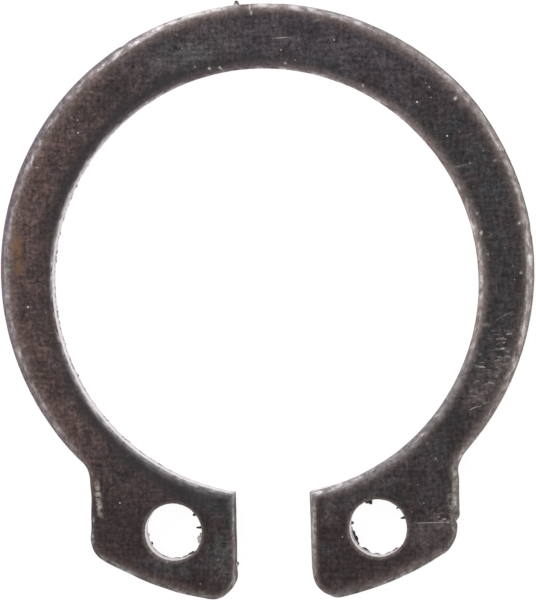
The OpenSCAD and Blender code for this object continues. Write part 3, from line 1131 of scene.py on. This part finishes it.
# On the bore the rubbed roll is tinted by a painted reflection: warm pink above, cool towards the lugs.
bore_rubbed_reflection = mix_colour(blend_range(split["Y"], -1.5, -4.0), warm_reflection_pink, cool_bore_reflection)
wash_and_light_colour = mix_colour(times(on_bore, blend_range(wash_reach, 0.10, 0.70)), wash_and_light_colour, bore_rubbed_reflection)
upper_left = times(blend_range(combine("SUBTRACT", split["Y"], split["X"]), 2.0, 8.0), on_bore)
wash_and_light_colour = mix_colour(upper_left, wash_and_light_colour, wash_maroon)
wash_tone = blend_range(combine("ADD", fine, scuff), 0.20, 0.80, 0.66, 1.34)
wash_and_light_colour = shaded(wash_and_light_colour, wash_tone)
# The wash is worn coat and painted light on the roll together.
colour = mix_colour(washed_and_lit, coat, wash_and_light_colour)
print("wash from", wash_brown[:3], "to", wash_tan_and_light[:3])

# %% [markdown]
# ## Streaks of bare steel and painted highlights
# On the crest of the roll the coat is gone in broken streaks that follow the edge; where they are
# widest they turn to a painted highlight, and their lilac and blue tints are painted reflections. Noise
# in plain space gives round spots, so this noise is laid out along the edge: one axis is the way round
# the outline and the other is the distance from it.

# %% Broken streaks of bare steel along the crest of the roll, with painted highlights and reflections
streak_steel = (0.46, 0.405, 0.375, 1)
sky_reflection_steel = (0.455, 0.410, 0.432, 1)
cool_reflection_steel = (0.46, 0.455, 0.485, 1)
pale_highlight_steel = (0.87, 0.83, 0.83, 1)
streaks_per_mm = 2.4
crest_half = 0.15
edge_place = add_node(
    tree, "ShaderNodeCombineXYZ",
    {0: times(along_at, streaks_per_mm), 1: times(inward_at, 2.5 * streaks_per_mm)},
).outputs[0]
streak = blend_range(noise_field(edge_place, 1.0, 4.0, 0.7), 0.24, 0.76)
wobble = combine("ADD", times(smear, 0.10), times(scuff, 0.08))
from_crest = apart(combine("ADD", inward_at, wobble), crest_at)
on_crest = blend_range(from_crest, crest_half, 0.0)
over = combine("SUBTRACT", combine("ADD", streak, wear_at), 1.0)
worn = blend_range(over, -0.34, 0.24)
streaks_on = combine("MULTIPLY", times(on_crest, worn), blend_range(roll_at, 0.10, 0.40), True)
# Towards the upper left the streaks get a painted lilac reflection.
sky_reflection_side = blend_range(combine("SUBTRACT", split["Y"], times(split["X"], 0.6)), -1.0, 5.0)
streak_colour = mix_colour(sky_reflection_side, streak_steel, sky_reflection_steel)
# On the lugs and the left half of the bore they get a painted cool reflection.
bore_left = times(on_bore, blend_range(split["X"], 2.0, -3.0))
streak_colour = mix_colour(combine("MAXIMUM", lugness, bore_left), streak_colour, cool_reflection_steel)
# Where the streaks are widest they turn pale: a painted highlight.
streak_colour = mix_colour(blend_range(over, 0.0, 0.52), streak_colour, pale_highlight_steel)
colour = mix_colour(streaks_on, colour, streak_colour)
rubbed = times(streaks_on, 0.5)
print("bare steel from", streak_steel[:3], "to", pale_highlight_steel[:3])

# %% [markdown]
# ## Slipped pliers
# Pliers have slid off the lugs and left narrow pale strips. They are rubbed and not cut, so each one is
# a soft band of colour beside a leaning line, broken up by noise.

# %% Three strips on the lugs where pliers slipped, and one along the gap
slips = [
    (-5.91, -7.22, 0.08, 0.14, 0.75), (6.22, -7.05, -0.03, 0.12, 0.60),
    (1.44, -8.10, 0.02, 0.09, 0.45), (6.08, -7.75, 0.10, 0.14, 0.30),
]
strip_steel = (0.62, 0.575, 0.470, 1)
slip_noise = blend_range(noise_field(in_mm, 7.0, 4.0, 0.75), 0.36, 0.66)
for x, y, lean, half_width, strength in slips:
    middle_x = combine("SUBTRACT", x, times(combine("SUBTRACT", split["Y"], y), lean))
    sideways = blend_range(apart(split["X"], middle_x), half_width, 0.2 * half_width)
    lengthwise = blend_range(apart(split["Y"], y), 0.75, 0.35)
    slip = times(sideways, lengthwise, slip_noise, strength)
    colour = mix_colour(slip, colour, strip_steel)
print(len(slips), "slipped strips")

# %% [markdown]
# ## The cut wall
# Below the roll the punch has burnished the steel, and below that the steel has broken. The values on
# the mesh say which zone a point is in. Drag lines of the punch run down the wall, so their noise is
# drawn out over the height.

# %% The wall: bright where it is burnished, coated elsewhere, and crumbled in the torn zone
burnished = (0.78, 0.722, 0.760, 1)
coated_wall = (0.190, 0.163, 0.172, 1)
torn_coat = (0.100, 0.084, 0.084, 1)
torn_dark = (0.050, 0.040, 0.038, 1)
torn_light = (0.76, 0.70, 0.71, 1)
burr_dark = (0.022, 0.017, 0.015, 1)
break_brown = (0.300, 0.225, 0.215, 1)
drags_per_mm = 6.0
flecks = blend_range(noise_field(in_mm, 4.5, 3.0, 0.7), 0.40, 0.47)
torn_colour = mix_colour(flecks, torn_dark, torn_light)
bright_wall = mix_colour(torn_at, burnished, torn_colour)
break_zone = blend_range(apart(torn_at, 0.40), 0.38, 0.10)
broken = times(break_zone, blend_range(streak, 0.25, 0.65, 0.15, 0.75))
bright_wall = mix_colour(broken, bright_wall, break_brown)
dull_wall = mix_colour(torn_at, coated_wall, torn_coat)
drag_place = add_node(
    tree, "ShaderNodeCombineXYZ",
    {0: times(along_at, drags_per_mm), 1: times(split["Z"], 0.8)},
).outputs[0]
drag = noise_field(drag_place, 1.0, 4.0, 0.7)
dull_tone = blend_range(combine("ADD", drag, times(smear, 0.8)), 0.25, 0.75, 0.58, 1.42)
bright_tone = blend_range(drag, 0.25, 0.75, 0.86, 1.12)
tone_gain = combine("SUBTRACT", bright_tone, dull_tone)
wall_tone = combine("ADD", dull_tone, times(shine_at, tone_gain))
wall_colour = shaded(mix_colour(shine_at, dull_wall, bright_wall), wall_tone)
colour = mix_colour(wall_at, colour, wall_colour)
colour = mix_colour(blend_range(burr_at, 0.25, 0.8), colour, burr_dark)
print("wall from", burnished[:3], "to", coated_wall[:3])

# %% [markdown]
# ## Chips, sparkle and rust
# The chips and scratches are bumps and grooves of the mesh already. Here they get the colour of bare
# steel, in patches, so that none is an even dot. Some crystals of the coat glint, and rust has begun
# at the left of the band.

# %% Chips, scratches, sparkling crystals and a rust bloom
bare_steel = (0.82, 0.78, 0.74, 1)
rust = (0.225, 0.118, 0.050, 1)
flaking = combine("ADD", scuff, times(bare_at, 0.35))
patchy = times(bare_at, blend_range(flaking, -0.10, 0.22, 0.30, 1.0))
colour = mix_colour(patchy, colour, bare_steel)
crystal_chance, from_crystal = cells(3.2)
sparkle = times(blend_range(crystal_chance, 0.88, 0.92), blend_range(from_crystal, 0.10, 0.04))
colour = mix_colour(times(sparkle, 0.35), colour, bare_steel)
rust_blooms = [(-8.43, 1.39, 0.21, 0.38, 0.80), (-8.40, 0.75, 0.20, 0.33, 0.60)]
rust_noise = unsteady(2.8, 6.0, 4.0, 0.7)
for x, y, half_length, half_width, strength in rust_blooms:
    rust_at = combine("ADD", from_middle(x, y, half_length, half_width), rust_noise)
    rusty = blend_range(rust_at, 1.30, 0.05, 0.0, strength)
    colour = mix_colour(rusty, colour, rust)
print("rust bloom at the left of the band")

# %% [markdown]
# ## Gloss and relief
# The coat is matt and bare steel is glossier. The crystals are too small for the mesh, so they are a
# bump of two thousandths of a millimetre.

# %% Gloss and relief, then the shader itself
crystal_relief = 0.0000022
coat_specular = 0.3
polished = times(wall_at, shine_at)
on_top = times(rubbed, combine("SUBTRACT", 0.80, times(wall_at, 0.80)))
bare_metal = combine("MAXIMUM", on_top, combine("MAXIMUM", polished, patchy), True)
metal = combine("MULTIPLY", bare_metal, combine("SUBTRACT", 1.0, burr_at), True)
coat_rough = blend_range(fine, 0.3, 0.7, 0.66, 0.50)
rough = combine("SUBTRACT", coat_rough, times(bare_metal, 0.18))
rough = combine("ADD", rough, times(torn_at, 0.15), True)
dull = times(wall_at, combine("SUBTRACT", 1.0, shine_at))
rough = combine("ADD", rough, times(dull, 0.35), True)
relief = combine("ADD", fine, times(noise_field(in_mm, 2.2, 2.0), 1.2))
bump = add_node(tree, "ShaderNodeBump", {"Strength": 1.0, "Distance": crystal_relief, "Height": relief})
shader = add_node(
    tree, "ShaderNodeBsdfPrincipled",
    {
        "Base Color": colour, "Metallic": metal, "Roughness": rough,
        "Normal": bump.outputs[0], "Specular IOR Level": coat_specular,
    },
)
add_node(tree, "ShaderNodeOutputMaterial", {"Surface": shader.outputs[0]})
ring_mesh.materials.append(steel)
print("finish:", len(tree.nodes), "nodes")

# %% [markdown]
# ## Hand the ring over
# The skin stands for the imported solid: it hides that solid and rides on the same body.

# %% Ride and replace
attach(ring, "root")
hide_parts("retaining_ring")
